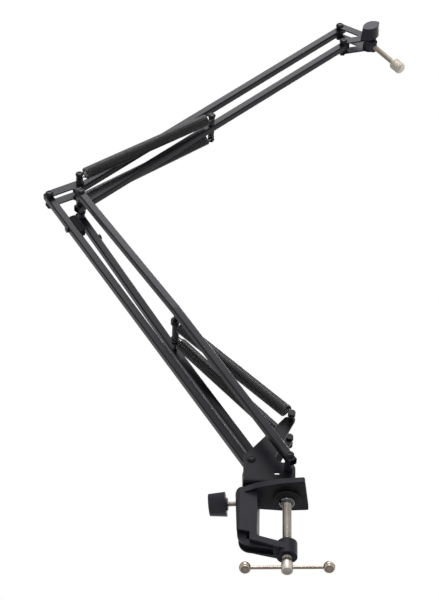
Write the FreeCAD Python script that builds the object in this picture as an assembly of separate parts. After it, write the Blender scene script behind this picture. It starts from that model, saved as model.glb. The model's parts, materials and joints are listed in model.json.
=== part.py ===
import FreeCAD, Part
import math
import os

from FreeCAD import Placement, Rotation, Vector

# Desk-clamped microphone boom arm: two sprung parallel linkages on a swivelling base, in millimetres.
# The origin lies on the underside of the clamp's upper jaw, +Z is up and the arm's pivots run along Y.
# The arm stands in the plane y = 0, and its front pieces lie on the -Y side.

# Clearances
overrun = 1.0
running_gap = 0.05
side_gap = 0.1
seat_gap = 0.15
same_place = 1e-6

# Places of the pivots
base_pivot_height = 32.0
link_back = 41.2
link_rise = 12.2
lower_length = 502.05
lower_angle = 121.47
upper_length = 488.1
upper_angle = 45.59
upper_link_back = 4.3
upper_link_rise = 34.7
tilt_reach = 37.0
tilt_rise = 11.1

# Square tubes of the arm
tube_width = 10.0
tube_wall = 1.0
tube_corner = 1.5
tube_overhang = 8.0
bar_spread_base = 36.5
bar_spread_elbow = 21.6
bar_bend_radius = 60.0

# Pins, heads, nuts and washers
pin_radius = 2.5
head_radius = 4.4
head_height = 4.0
socket_flats = 4.0
socket_depth = 2.4
nut_flats = 8.0
nut_height = 3.6
spacer_radius = 4.6
washer_thickness = 2.7

# Elbow and head plates
plate_thickness = 2.0
elbow_half_width = 5.7
elbow_inner_radius = 4.0
head_half_width = 5.6
head_notch_radius = 2.0
tilt_boss_radius = 9.5

# Cross pins and springs
lower_cross_share = 0.51
upper_cross_share = 0.473
cross_sleeve_radius = 4.2
cross_collar_radius = 6.0
cross_collar_width = 2.5
lower_spring_spread = 24.3
lower_cross_spread = 14.0
upper_spring_spread = 21.0
upper_cross_spread = 16.7
spring_groove = 6.0
spring_radius = 5.7
spring_wire = 1.8
spring_turns = 12
spring_lead_turns = 1

# Stop fitting under the elbow
stop_from_elbow = 60.5
stop_back_from_elbow = 38.5
stop_length = 30.0
stop_rise = 8.0
stop_corner = 2.0
stop_head_radius = 4.0
stop_head_height = 2.6
stop_screw_radius = 2.0

# Base bracket and its swivel post
sheet_thickness = 2.5
cheek_inside = 15.0
fold_radius = 4.0
swivel_collar_height = 3.5
bracket_margin = 8.8
bracket_right = 8.0
bracket_shoulder_rise = 11.0
bracket_crown_rise = 2.75
bracket_corner_radius = 5.5
ear_x = 3.5
ear_height = 104.0
ear_radius = 6.5
ear_corner_radius = 3.25
ear_cap_rise = 3.25
ear_neck_x = 3.5
ear_neck_height = 75.6
notch_x = 16.0
notch_height = 45.0
lug_radius = 8.5
flange_height = 28.5
slot_x = 12.9
slot_height = 24.7
slot_length = 7.0
slot_width = 3.4
anchor_head_width = 2.5
post_inset = 6.6
post_radius = 6.0
post_depth = 24.0
post_collar_radius = 10.0
rivet_radius = 4.0
rivet_head_radius = 6.0
rivet_head_height = 2.5

# Desk clamp, in its own frame with X running from the post's axis to the jaw's tip
clamp_turn = -8.5
screw_reach = 43.0
jaw_thickness = 8.0
jaw_tip_fall = 1.0
jaw_reach = 65.0
jaw_tip_half_width = 25.2
jaw_middle_x = 37.0
jaw_middle_half_width = 24.2
jaw_root_half_width = 19.2
jaw_flare_x = 4.0
jaw_tip_corner = 2.5
pad_start = 17.0
pad_margin = 1.2
pad_corner = 2.0
pad_thickness = 1.5
pad_proud = 0.6
spine_back = 13.5
spine_back_low = 10.2
spine_front = 11.5
spine_half_depth = 13.2
spine_plan_corner = 6.5
spine_top_radius = 8.0
throat_radius = 5.0
arm_tip_height = 81.4
arm_root_depth = 22.2
arm_drop = 11.0
flange_thickness = 7.5
shoulder_x = 3.5
shoulder_rise = 5.7
shoulder_back_rise = 9.7
shoulder_corner = 1.5
rib_half_width = 7.5
rib_heel_rise = 16.1
rib_heel_radius = 15.0
rib_tip_rise = 5.0
channel_half_width = 5.5
channel_depth = 4.0
channel_rise = 9.0
channel_end = 28.0
boss_radius = 11.3
boss_length = 18.3

# Clamp screw, its foot and its sliding handle
screw_radius = 5.0
screw_head_radius = 6.5
screw_head_length = 17.6
screw_head_flare = 5.6
screw_head_dome = 4.0
foot_top = 3.0
foot_radius = 15.6
foot_rim_height = 2.2
foot_step_radius = 12.0
foot_step_height = 1.0
socket_radius = 8.9
socket_height = 4.0
socket_round_share = 0.8
handle_drop = 10.1
handle_turn = -4.3
handle_radius = 2.0
handle_half_length = 45.0
handle_ball_radius = 6.5

# Lock bolt and the two knobs
lock_height = 5.0
lock_radius = 2.75
lock_free_length = 11.0
lock_knob_turn = 20.0
tilt_knob_turn = 36.0
knob_length = 19.0
knob_half_length = 16.2
knob_half_width = 9.6
knob_taper = 1.5
knob_tip_round = 4.0
knob_hub_radius = 7.0
knob_hub_length = 2.0
knob_bore_depth = 12.0

# Microphone mount
block_radius = 8.4
block_neck = 14.0
block_neck_half_width = 5.6
stem_radius = 3.5
stem_angle = -53.0
stem_start = 8.0
stud_middle = 62.3
stud_length = 16.0
stud_radius = 7.9375
stud_chamfer = 1.2


def heading(angle):
    """Unit vector at an angle above +X in the arm's plane."""
    turn = math.radians(angle)
    return Vector(math.cos(turn), 0, math.sin(turn))


# Pivots worked out from the lengths above
up = Vector(0, 0, 1)
across = Vector(0, 1, 0)
lower_vector = heading(lower_angle) * lower_length
upper_vector = heading(upper_angle) * upper_length
base_pivot = up * base_pivot_height
link_offset = Vector(-link_back, 0, link_rise)
base_link_pivot = base_pivot + link_offset
elbow_pivot = base_pivot + lower_vector
elbow_link_pivot = elbow_pivot + link_offset
post_pivot = elbow_pivot + Vector(-upper_link_back, 0, upper_link_rise)
head_pivot = elbow_pivot + upper_vector
head_link_pivot = post_pivot + upper_vector
tilt_pivot = head_pivot + Vector(tilt_reach, 0, tilt_rise)
lower_cross = base_pivot + lower_vector * lower_cross_share
upper_cross = elbow_pivot + upper_vector * upper_cross_share
spring_ear = Vector(ear_x, 0, ear_height)
stem_heading = heading(stem_angle)

# Distances from the arm's plane, from the middle outwards
hole_radius = pin_radius + running_gap
half_tube = tube_width / 2
plate_inside = half_tube + washer_thickness
plate_outside = plate_inside + plate_thickness
cheek_outside = cheek_inside + sheet_thickness
bar_slope = math.atan2(bar_spread_base - bar_spread_elbow, lower_length * (1 - lower_cross_share))
slope_gap = spacer_radius * math.tan(bar_slope) + side_gap
bar_reach = half_tube / math.cos(bar_slope) + slope_gap
base_bar_outside = bar_spread_base + half_tube
upper_groove_inside = upper_spring_spread - spring_groove / 2
upper_groove_outside = upper_spring_spread + spring_groove / 2
cross_groove_inside = upper_cross_spread - spring_groove / 2
cross_groove_outside = upper_cross_spread + spring_groove / 2
lower_groove_outside = lower_spring_spread + spring_groove / 2
collar_inside = lower_cross_spread + spring_groove / 2

# Base bracket
bracket_left = link_back + bracket_margin
bracket_bottom = jaw_thickness + swivel_collar_height
web_top = bracket_bottom + sheet_thickness
post_x = bracket_left - post_inset

# Depths of the clamp's lower arm, of the screw's head and of the foot, below the jaw
throat_height = arm_tip_height - arm_root_depth
rib_heel_height = arm_tip_height - rib_heel_rise
rib_tip_height = arm_tip_height - rib_tip_rise
screw_head_top = arm_tip_height + foot_top
screw_head_end = screw_head_top + screw_head_length
handle_height = screw_head_top + handle_drop
foot_rim_bottom = foot_top + foot_rim_height
socket_top = foot_rim_bottom + foot_step_height
socket_bottom = socket_top + socket_height

# Places of the stops along the lower bars
stop_place = lower_length - stop_from_elbow
stop_back_place = lower_length - stop_back_from_elbow


def placed(shape, placement):
    return shape.transformed(placement.toMatrix(), True)


def along(origin, angle):
    """Frame whose +X runs at the angle above +X in the arm's plane."""
    return Placement(origin, Rotation(across, -angle))


def rounded_face(corners):
    """Flat face in the XZ plane from (x, z, radius) corners, with an arc at each rounded one."""
    points = [Vector(x, 0, z) for x, z, radius in corners]
    stops = []
    for index, here in enumerate(points):
        radius = corners[index][2]
        before = (points[index - 1] - here).normalize()
        after = (points[(index + 1) % len(points)] - here).normalize()
        half = before.getAngle(after) / 2
        reach = radius / math.tan(half)
        bisector = (before + after).normalize() if radius else Vector()
        middle = here + bisector * (radius / math.sin(half) - radius)
        stops.append((here + before * reach, middle, here + after * reach))
    edges = []
    for index, (start, middle, end) in enumerate(stops):
        following = stops[(index + 1) % len(stops)][0]
        if not start.isEqual(end, same_place):
            edges.append(Part.Arc(start, middle, end).toShape())
        if not end.isEqual(following, same_place):
            edges.append(Part.LineSegment(end, following).toShape())
    return Part.Face(Part.Wire(edges))


def slab(corners, low, high):
    """Outline in the XZ plane, thickened from y = low to y = high."""
    face = rounded_face(corners)
    face.translate(across * low)
    return face.extrude(across * (high - low))


def plan_slab(corners, low, high):
    """Outline in the XY plane, thickened from z = low to z = high."""
    upright = slab(corners, -high, -low)
    return placed(upright, Placement(Vector(), Rotation(Vector(1, 0, 0), -90)))


def strip_corners(points, half_width, inner_radius):
    """Corners of a band along a line of points, with round ends and rounded bends."""
    headings = [(after - before).normalize() for before, after in zip(points, points[1:])]
    normals = [Vector(-way.z, 0, way.x) for way in headings]
    first = points[0] - headings[0] * half_width
    last = points[-1] + headings[-1] * half_width
    left = [first + normals[0] * half_width]
    right = [first - normals[0] * half_width]
    left_radii = [half_width]
    right_radii = [half_width]
    for index, point in enumerate(points[1:-1]):
        total = normals[index] + normals[index + 1]
        mitre = total * (2 * half_width / total.dot(total))
        turns_left = headings[index].dot(normals[index + 1]) < 0
        left.append(point + mitre)
        right.append(point - mitre)
        left_radii.append(inner_radius if turns_left else half_width)
        right_radii.append(half_width if turns_left else inner_radius)
    left.append(last + normals[-1] * half_width)
    right.append(last - normals[-1] * half_width)
    left_radii.append(half_width)
    right_radii.append(half_width)
    corners = list(zip(left, left_radii)) + list(zip(right, right_radii))[::-1]
    return [(corner.x, corner.z, radius) for corner, radius in corners]


def rod(centre, radius, low, high):
    """Round rod along Y."""
    return Part.makeCylinder(radius, high - low, Vector(centre.x, low, centre.z), across)


def ring(centre, outer, inner, low, high):
    hole = rod(centre, inner, low - overrun, high + overrun)
    return rod(centre, outer, low, high).cut(hole)


def ring_pair(centre, outer, low, high):
    """Two sleeves on one pin, one on each side of the arm's plane."""
    return [ring(centre, outer, hole_radius, low, high), ring(centre, outer, hole_radius, -high, -low)]


def hexagon(centre, flats, low, high):
    corner = flats / math.sqrt(3)
    sides = [math.radians(60 * step) for step in range(7)]
    points = [centre + Vector(math.cos(side), 0, math.sin(side)) * corner for side in sides]
    face = Part.Face(Part.makePolygon(points))
    face.translate(across * low)
    return face.extrude(across * (high - low))


def socket_bolt(centre, seat):
    """Bolt with a socket head in front of y = -seat and a shank that ends in a nut behind y = seat."""
    shank = rod(centre, pin_radius, -seat, seat + nut_height)
    head = rod(centre, head_radius, -seat - head_height, -seat)
    socket = hexagon(centre, socket_flats, -seat - head_height - overrun, -seat - head_height + socket_depth)
    return shank.fuse(head).cut(socket).removeSplitter()


def nut(centre, seat):
    hole = rod(centre, hole_radius, seat - overrun, seat + nut_height + overrun)
    return hexagon(centre, nut_flats, seat, seat + nut_height).cut(hole)


def square_section(width, corner):
    """Rounded square in the YZ plane."""
    half = width / 2
    corners = [(half, half, corner), (-half, half, corner), (-half, -half, corner), (half, -half, corner)]
    return placed(rounded_face(corners), Placement(Vector(), Rotation(up, 90)))


def tube_sections():
    bore_width = tube_width - 2 * tube_wall
    bore_corner = max(tube_corner - tube_wall, tube_wall / 2)
    return square_section(tube_width, tube_corner), square_section(bore_width, bore_corner)


def straight_bar(pivot, angle, length, hole_places):
    """Open square tube from one pivot to the next, drilled along Y at the places given along it."""
    outer, bore = tube_sections()
    start = Vector(-tube_overhang, 0, 0)
    run = Vector(length + 2 * tube_overhang, 0, 0)
    ends = Vector(overrun, 0, 0)
    outer.translate(start)
    bore.translate(start - ends)
    bar = outer.extrude(run).cut(bore.extrude(run + ends * 2))
    for place in hole_places:
        bar = bar.cut(rod(Vector(place, 0, 0), hole_radius, -tube_width, tube_width))
    return placed(bar, along(pivot, angle))


def bent_path(reach):
    """Line of a lower outer bar: straight from the base, then bent in towards the elbow."""
    bend = Vector(lower_length * lower_cross_share, bar_spread_base, 0)
    way = Vector(math.cos(bar_slope), -math.sin(bar_slope), 0)
    tangent = bar_bend_radius * math.tan(bar_slope / 2)
    arc_start = bend - Vector(tangent, 0, 0)
    arc_end = bend + way * tangent
    inward = Vector(0, -bar_bend_radius, 0)
    half = bar_slope / 2
    arc_middle = arc_start + inward + Vector(math.sin(half), math.cos(half), 0) * bar_bend_radius
    start = Vector(-reach, bar_spread_base, 0)
    end = bend + way * ((lower_length - bend.x) / math.cos(bar_slope) + reach)
    edges = [
        Part.LineSegment(start, arc_start).toShape(),
        Part.Arc(arc_start, arc_middle, arc_end).toShape(),
        Part.LineSegment(arc_end, end).toShape(),
    ]
    return Part.Wire(edges), start


def bent_bar(side):
    """Lower outer bar on the side given as -1 for the front and 1 for the back."""
    solids = []
    for section, reach in zip(tube_sections(), (tube_overhang, tube_overhang + overrun)):
        path, start = bent_path(reach)
        section.translate(start)
        solids.append(path.makePipeShell([section.OuterWire], True, False))
    bar = solids[0].cut(solids[1])
    cross_place = lower_length * lower_cross_share
    through = base_bar_outside + overrun
    inner_wall = bar_spread_base + overrun
    for place, depth in ((0, through), (cross_place, inner_wall), (lower_length, through)):
        bar = bar.cut(rod(Vector(place, 0, 0), hole_radius, 0, depth))
    if side < 0:
        bar = bar.mirror(Vector(), across)
    return placed(bar, along(base_pivot, lower_angle))


def biarc(start, start_way, end, end_way):
    """Two circular arcs that join smoothly and leave the ends in the ways given."""
    span = end - start
    ways = start_way + end_way
    turning = 2 * (1 - start_way.dot(end_way))
    along_ways = span.dot(ways)
    reach = (math.sqrt(along_ways ** 2 + turning * span.dot(span)) - along_ways) / turning
    first_corner = start + start_way * reach
    second_corner = end - end_way * reach
    join = (first_corner + second_corner) / 2
    arcs = []
    for low, corner, high in ((start, first_corner, join), (join, second_corner, end)):
        chord_middle = (low + high) / 2
        half_chord = (high - low).Length / 2
        rise = corner - chord_middle
        bulge = half_chord * math.tan(math.atan2(rise.Length, half_chord) / 2)
        arcs.append(Part.Arc(low, chord_middle + rise.normalize() * bulge, high).toShape())
    return arcs


def spring_line(start, finish):
    """Place and heading on a spring's wire at a number of turns from its start."""
    axis = (finish - start).normalize()
    first = (across - axis * axis.dot(across)).normalize()
    second = axis.cross(first)
    straight = spring_wire
    advance = ((finish - start).Length - 2 * straight) / spring_turns

    def at(turns):
        from_end = min(turns, spring_turns - turns) / spring_lead_turns
        growing = min(from_end, 1)
        radius = spring_radius * growing ** 2 * (3 - 2 * growing)
        slope = spring_radius * 6 * growing * (1 - growing) / spring_lead_turns
        if turns > spring_turns / 2:
            slope = -slope
        angle = 2 * math.pi * turns
        radial = first * math.cos(angle) + second * math.sin(angle)
        sideways = second * math.cos(angle) - first * math.sin(angle)
        place = start + axis * (straight + advance * turns) + radial * radius
        way = axis * advance + radial * slope + sideways * (2 * math.pi * radius)
        return place, way.normalize()

    return at


def spring_stops():
    """Turn counts at the ends of the arcs: quarter turns in the leads and half turns between them."""
    quarters = [step / 4 for step in range(4 * spring_lead_turns)]
    halves = [step / 2 for step in range(2 * spring_lead_turns, 2 * (spring_turns - spring_lead_turns))]
    leads = [spring_turns - step / 4 for step in range(4 * spring_lead_turns, -1, -1)]
    return quarters + halves + leads


def self_gap(wire):
    """Least gap between stretches of a spring's wire that lie more than half a turn apart along it."""
    points = []
    for edge in wire.Edges:
        points += edge.discretize(5)[:-1]
    run = wire.Length / len(points)
    apart = int(math.pi * spring_radius / run) + 1
    gaps = [
        (other - point).Length
        for index, point in enumerate(points)
        for other in points[index + apart:]
    ]
    return min(gaps) - spring_wire


def tension_spring(name, start_eye, finish_eye, finish_radius):
    """Coiled wire between its places on two pins, drawn in to its axis at both ends."""
    way = (finish_eye - start_eye).normalize()
    start = start_eye + way * (pin_radius + seat_gap)
    finish = finish_eye - way * (finish_radius + seat_gap)
    at = spring_line(start, finish)
    stops = [at(turns) for turns in spring_stops()]
    arcs = []
    for (low, low_way), (high, high_way) in zip(stops, stops[1:]):
        arcs += biarc(low, low_way, high, high_way)
    edges = [Part.LineSegment(start, stops[0][0]).toShape()]
    edges += arcs
    edges.append(Part.LineSegment(stops[-1][0], finish).toShape())
    path = Part.Wire(edges)
    section = placed(square_section(spring_wire, 0), Placement(start, Rotation(Vector(1, 0, 0), way)))
    spring = path.makePipeShell([section.OuterWire], True, False)
    tightest = min(arc.Curve.Radius for arc in arcs)
    filled = spring.Volume / (section.Area * path.Length)
    print(name, "gap %.2f tightest %.2f volume share %.3f" % (self_gap(path), tightest, filled))
    return spring


def revolved(corners, axis_x):
    """Solid of revolution about an upright axis, from (radius, z, rounding) corners."""
    face = rounded_face([(axis_x + radius, z, rounding) for radius, z, rounding in corners])
    return face.revolve(Vector(axis_x, 0, 0), up, 360)


# Desk clamp

clamp_place = Placement(Vector(-post_x, 0, 0), Rotation(up, clamp_turn))
screw_axis = Vector(screw_reach, 0, 0)
handle_place = Placement(screw_axis, Rotation(up, handle_turn - clamp_turn))
lock_axis = Vector(-1, 0, 0)
lock_start = Vector(-post_radius - side_gap, 0, -lock_height)
lock_knob_start = -spine_back - lock_free_length


def mirrored_plan(half):
    """Plan outline from the corners on its +Y side."""
    return half + [(x, -y, radius) for x, y, radius in reversed(half)]


def jaw_plan():
    return mirrored_plan([
        (-spine_back, spine_half_depth, spine_plan_corner),
        (-jaw_flare_x, spine_half_depth, 0),
        (spine_front, jaw_root_half_width, 0),
        (jaw_middle_x, jaw_middle_half_width, 0),
        (jaw_reach, jaw_tip_half_width, jaw_tip_corner),
    ])


def pad_plan():
    return mirrored_plan([
        (pad_start, jaw_root_half_width, pad_corner),
        (jaw_middle_x, jaw_middle_half_width - pad_margin, 0),
        (jaw_reach - pad_margin, jaw_tip_half_width - pad_margin, pad_corner),
    ])


def arm_plan():
    return mirrored_plan([
        (-spine_back, spine_half_depth, spine_plan_corner),
        (spine_front, spine_half_depth, 0),
        (screw_reach, boss_radius, 0),
    ])


def back_x(z):
    """Place of the spine's leaning back at a height."""
    share = (jaw_thickness - z) / (jaw_thickness + rib_heel_height)
    return -spine_back + (spine_back - spine_back_low) * share


def arm_bottom(x):
    """Height of the lower arm's underside beside its rib."""
    slope = arm_drop / (screw_reach - spine_front)
    return -throat_height - flange_thickness - (x - spine_front) * slope


def frame_side():
    """Side of the spine and of the lower arm's flange."""
    shoulder_back = shoulder_back_rise - throat_height
    return [
        (-spine_back, jaw_thickness, spine_top_radius),
        (spine_front, jaw_thickness, 0),
        (spine_front, -throat_height, throat_radius),
        (screw_reach, -throat_height - arm_drop, 0),
        (screw_reach, arm_bottom(screw_reach), 0),
        (shoulder_x, arm_bottom(shoulder_x), shoulder_corner),
        (shoulder_x, shoulder_rise - throat_height, shoulder_corner),
        (back_x(shoulder_back), shoulder_back, 0),
    ]


def rib_side(inset):
    """Side of the rib that runs down the spine's back, round the heel and under the lower arm."""
    return [
        (back_x(0) + inset, 0, 0),
        (0, 0, 0),
        (0, -throat_height, 0),
        (screw_reach, -throat_height - arm_drop, 0),
        (screw_reach, inset - rib_tip_height, 0),
        (inset - spine_back_low, inset - rib_heel_height, rib_heel_radius - inset),
    ]


def channel():
    """Groove along the rib's outer face, from the spine's back to a wall before the boss."""
    reach = channel_half_width + overrun
    outer = slab(rib_side(-overrun), -channel_half_width, channel_half_width)
    inner = slab(rib_side(channel_depth), -reach, reach)
    left = -spine_back - 2 * overrun
    top = channel_rise - throat_height
    low = -arm_tip_height - overrun
    room = slab([(left, top, 0), (channel_end, top, 0), (channel_end, low, 0), (left, low, 0)], -reach, reach)
    return outer.cut(inner).common(room)


def clamp_frame():
    body = slab(frame_side(), -jaw_tip_half_width, jaw_tip_half_width)
    body = body.common(plan_slab(arm_plan(), -arm_tip_height - overrun, jaw_thickness + overrun))
    rib = slab(rib_side(0), -rib_half_width, rib_half_width)
    jaw = plan_slab(jaw_plan(), pad_proud, jaw_thickness)
    trim = slab(frame_side()[:2] + [
        (jaw_reach + overrun, jaw_thickness - jaw_tip_fall, 0),
        (jaw_reach + overrun, -overrun, 0),
        (-spine_back, -overrun, 0),
    ], -jaw_tip_half_width - overrun, jaw_tip_half_width + overrun)
    boss = Part.makeCylinder(boss_radius, boss_length, screw_axis - up * arm_tip_height)
    frame = body.fuse([jaw.common(trim), rib, boss]).removeSplitter()
    post_hole = Part.makeCylinder(post_radius + running_gap, post_depth + jaw_thickness + 2 * overrun,
                                  up * (-post_depth - overrun))
    screw_hole = Part.makeCylinder(screw_radius + running_gap, arm_tip_height,
                                   screw_axis - up * (arm_tip_height + overrun))
    lock_hole = Part.makeCylinder(lock_radius + running_gap, spine_back + overrun,
                                  up * -lock_height, lock_axis)
    recess = plan_slab(pad_plan(), -overrun, pad_thickness)
    return frame.cut([channel(), post_hole, screw_hole, lock_hole, recess])


def jaw_pad():
    return plan_slab(pad_plan(), 0, pad_thickness)


def pressure_foot():
    """Round foot whose underside steps down to the socket."""
    hole = screw_radius + running_gap
    corners = [
        (0, -foot_top, 0), (foot_radius, -foot_top, 0), (foot_radius, -foot_rim_bottom, 0),
        (foot_step_radius, -foot_rim_bottom, 0), (foot_step_radius, -socket_top, 0), (hole, -socket_top, 0),
        (hole, -foot_rim_bottom, 0), (0, -foot_rim_bottom, 0),
    ]
    return revolved(corners, screw_reach)


def foot_socket():
    """Domed collar that holds the screw's end under the foot."""
    hole = screw_radius + running_gap
    rounding = socket_round_share * min(socket_height, socket_radius - hole)
    corners = [
        (hole, -socket_top, 0), (socket_radius, -socket_top, 0),
        (socket_radius, -socket_bottom, rounding), (hole, -socket_bottom, 0),
    ]
    return revolved(corners, screw_reach)


def clamp_screw():
    """Screw with a flared head, cross-drilled for the handle."""
    top = -foot_rim_bottom - side_gap
    corners = [
        (0, top, 0), (screw_radius, top, 0), (screw_radius, -screw_head_top, 0),
        (screw_head_radius, -screw_head_top - screw_head_flare, 0),
        (screw_head_radius, -screw_head_end, screw_head_dome), (0, -screw_head_end, 0),
    ]
    hole = Part.makeCylinder(handle_radius + running_gap, 2 * screw_head_radius + 2 * overrun,
                             Vector(-screw_head_radius - overrun, 0, -handle_height), Vector(1, 0, 0))
    return revolved(corners, screw_reach).cut(placed(hole, handle_place))


def handle_bar():
    bar = Part.makeCylinder(handle_radius, 2 * handle_half_length,
                            Vector(-handle_half_length, 0, -handle_height), Vector(1, 0, 0))
    return placed(bar, handle_place)


def handle_balls():
    """End caps of the handle, bored to take the bar's ends."""
    caps = []
    for side in (-1, 1):
        ball = Part.makeSphere(handle_ball_radius, Vector(side * handle_half_length, 0, -handle_height))
        hole_end = Vector(side * (handle_half_length + side_gap), 0, -handle_height)
        hole = Part.makeCylinder(handle_radius + running_gap, 2 * handle_ball_radius,
                                 hole_end, Vector(-side, 0, 0))
        caps.append(placed(ball.cut(hole), handle_place))
    return Part.makeCompound(caps)


def knob(radius, turn):
    """Lens-shaped knob along +Z from its hub, turned about its axis, with a blind bore."""
    bend = (knob_half_length ** 2 + knob_half_width ** 2) / (2 * knob_half_width)
    offset = across * (bend - knob_half_width)
    sides = [Part.makeCone(bend, bend - knob_taper, knob_length, middle) for middle in (offset, -offset)]
    tips = revolved([
        (0, 0, 0), (knob_half_length, 0, 0),
        (knob_half_length, knob_length, knob_tip_round), (0, knob_length, 0),
    ], 0)
    body = placed(sides[0].common([sides[1]]).common([tips]), Placement(Vector(), Rotation(up, turn)))
    hub = Part.makeCylinder(knob_hub_radius, knob_hub_length, up * -knob_hub_length)
    hole = Part.makeCylinder(radius + running_gap, knob_bore_depth + knob_hub_length + overrun,
                             up * (-knob_hub_length - overrun))
    return body.fuse(hub).removeSplitter().cut(hole)


def lock_bolt():
    length = -lock_knob_start + knob_bore_depth + lock_start.x
    return Part.makeCylinder(lock_radius, length, lock_start, lock_axis)


def lock_knob():
    turn = Rotation(-across, up, lock_axis, "ZXY")
    place = Vector(lock_knob_start, 0, -lock_height)
    return placed(knob(lock_radius, lock_knob_turn), Placement(place, turn))


# Base

def cheek_outline():
    """Side of the bracket: a shoulder over the left pivot, a tall ear for the spring, a lug on the right."""
    top = base_link_pivot.z + bracket_shoulder_rise
    left = -bracket_left
    ear_top = ear_height + ear_cap_rise
    lug_top = base_pivot_height + lug_radius
    return [
        (left, bracket_bottom, 0),
        (left, top - bracket_corner_radius, bracket_corner_radius),
        (base_link_pivot.x, top + bracket_crown_rise, bracket_corner_radius),
        (spring_ear.x - ear_radius, ear_top, ear_corner_radius),
        (spring_ear.x + ear_radius, ear_top, ear_corner_radius),
        (-ear_neck_x, ear_neck_height, ear_radius),
        (-notch_x, notch_height, ear_radius),
        (-notch_x + lug_radius, lug_top, ear_corner_radius),
        (bracket_right, lug_top, lug_radius),
        (bracket_right, bracket_bottom, 0),
    ]


def base_bracket():
    """Sheet folded into two cheeks and a web, with a flange across its left end."""
    top = ear_height + 2 * ear_radius
    outer = [
        (cheek_outside, top, 0), (-cheek_outside, top, 0),
        (-cheek_outside, bracket_bottom, fold_radius), (cheek_outside, bracket_bottom, fold_radius),
    ]
    inner_fold = fold_radius - sheet_thickness
    inner = [
        (cheek_inside, top + overrun, 0), (-cheek_inside, top + overrun, 0),
        (-cheek_inside, web_top, inner_fold), (cheek_inside, web_top, inner_fold),
    ]
    quarter = Placement(Vector(), Rotation(up, 90))
    start = Vector(-bracket_left, 0, 0)
    run = Vector(bracket_left + bracket_right, 0, 0)
    ends = Vector(overrun, 0, 0)
    shell = placed(rounded_face(outer), quarter)
    hollow = placed(rounded_face(inner), quarter)
    shell.translate(start)
    hollow.translate(start - ends)
    body = shell.extrude(run).cut(hollow.extrude(run + ends * 2))
    body = body.common(slab(cheek_outline(), -cheek_outside - overrun, cheek_outside + overrun))
    sink = sheet_thickness / 2
    flange_corner = Vector(-bracket_left, -cheek_inside - sink, web_top - sink)
    flange_rise = flange_height - flange_corner.z
    flange = Part.makeBox(sheet_thickness, 2 * (cheek_inside + sink), flange_rise, flange_corner)
    body = body.fuse(flange).removeSplitter()
    slot_half = Vector((slot_length - slot_width) / 2, 0, 0)
    slot_middle = Vector(-slot_x, 0, slot_height)
    slot = slab(strip_corners([slot_middle - slot_half, slot_middle + slot_half], slot_width / 2, 0),
                -cheek_outside - overrun, cheek_outside + overrun)
    holes = [
        rod(centre, hole_radius, -cheek_outside - overrun, cheek_outside + overrun)
        for centre in (base_pivot, base_link_pivot, spring_ear)
    ]
    post_hole = Part.makeCylinder(rivet_radius + running_gap, web_top, Vector(-post_x, 0, sheet_thickness))
    rivet_room = Part.makeCylinder(rivet_head_radius + side_gap, rivet_head_height + side_gap,
                                   Vector(-post_x, 0, web_top))
    return body.cut(holes + [slot, post_hole, rivet_room])


def base_post():
    """Swivel post with the collar that carries the bracket, riveted over the bracket's web."""
    collar_bottom = jaw_thickness + side_gap
    head_top = web_top + rivet_head_height
    corners = [
        (0, -post_depth, 0), (post_radius, -post_depth, 0), (post_radius, collar_bottom, 0),
        (post_collar_radius, collar_bottom, 0), (post_collar_radius, bracket_bottom, 0),
        (rivet_radius, bracket_bottom, 0), (rivet_radius, web_top, 0), (rivet_head_radius, web_top, 0),
        (rivet_head_radius, head_top, rivet_head_height / 2), (0, head_top, 0),
    ]
    return revolved(corners, -post_x)


def spring_anchor_bolts():
    """Bolt in each ear: a head inside the cheek, a neck for the spring and a head outside it."""
    bolts = []
    for side in (-1, 1):
        pieces = []
        for radius, inner, outer in (
            (head_radius, cheek_inside - anchor_head_width, cheek_inside),
            (pin_radius, cheek_inside, lower_groove_outside + anchor_head_width),
            (head_radius, lower_groove_outside, lower_groove_outside + anchor_head_width),
        ):
            low, high = sorted((side * inner, side * outer))
            pieces.append(rod(spring_ear, radius, low, high))
        bolts.append(pieces[0].fuse(pieces[1:]).removeSplitter())
    return Part.makeCompound(bolts)


# Lower arm

def side_rod(place, radius, low, high, spread):
    """Rod square to a lower bar, in the arm's plane, at a place along the bar."""
    return Part.makeCylinder(radius, high - low, Vector(place, spread, -high), up)


def stop_block():
    """Bumper on the inner side of the centre bar."""
    half = stop_length / 2
    low = -half_tube - stop_rise
    corners = [
        (stop_place - half, -half_tube, 0), (stop_place - half, low, stop_corner),
        (stop_place + half, low, stop_corner), (stop_place + half, -half_tube, 0),
    ]
    block = slab(corners, -half_tube, half_tube)
    hole = side_rod(stop_place, stop_screw_radius + running_gap, -overrun, half_tube + stop_rise + overrun, 0)
    return placed(block.cut(hole), along(base_link_pivot, lower_angle))


def stop_screw():
    """Screw through the centre bar that holds its bumper."""
    head_top = -half_tube - stop_head_height
    shank = side_rod(stop_place, stop_screw_radius, head_top, half_tube + stop_rise / 2, 0)
    head = side_rod(stop_place, stop_head_radius, head_top, -half_tube, 0)
    return placed(shank.fuse(head).removeSplitter(), along(base_link_pivot, lower_angle))


def stop_spread():
    """Distance of the back bar's middle from the arm's plane at its stop screw."""
    return bar_spread_elbow + (lower_length - stop_back_place) * math.tan(bar_slope)


def stop_screw_back():
    head_bottom = half_tube + stop_head_height
    shank = side_rod(stop_back_place, stop_screw_radius, -half_tube, head_bottom, stop_spread())
    head = side_rod(stop_back_place, stop_head_radius, half_tube, head_bottom, stop_spread())
    return placed(shank.fuse(head).removeSplitter(), along(base_pivot, lower_angle))


def lower_bar_centre():
    bar = straight_bar(base_link_pivot, lower_angle, lower_length, (0, lower_length))
    hole = side_rod(stop_place, stop_screw_radius + running_gap, -tube_width, tube_width, 0)
    return bar.cut(placed(hole, along(base_link_pivot, lower_angle)))


def lower_bar_back():
    hole = side_rod(stop_back_place, stop_screw_radius + running_gap, -tube_width, tube_width, stop_spread())
    return bent_bar(1).cut(placed(hole, along(base_pivot, lower_angle)))


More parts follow.
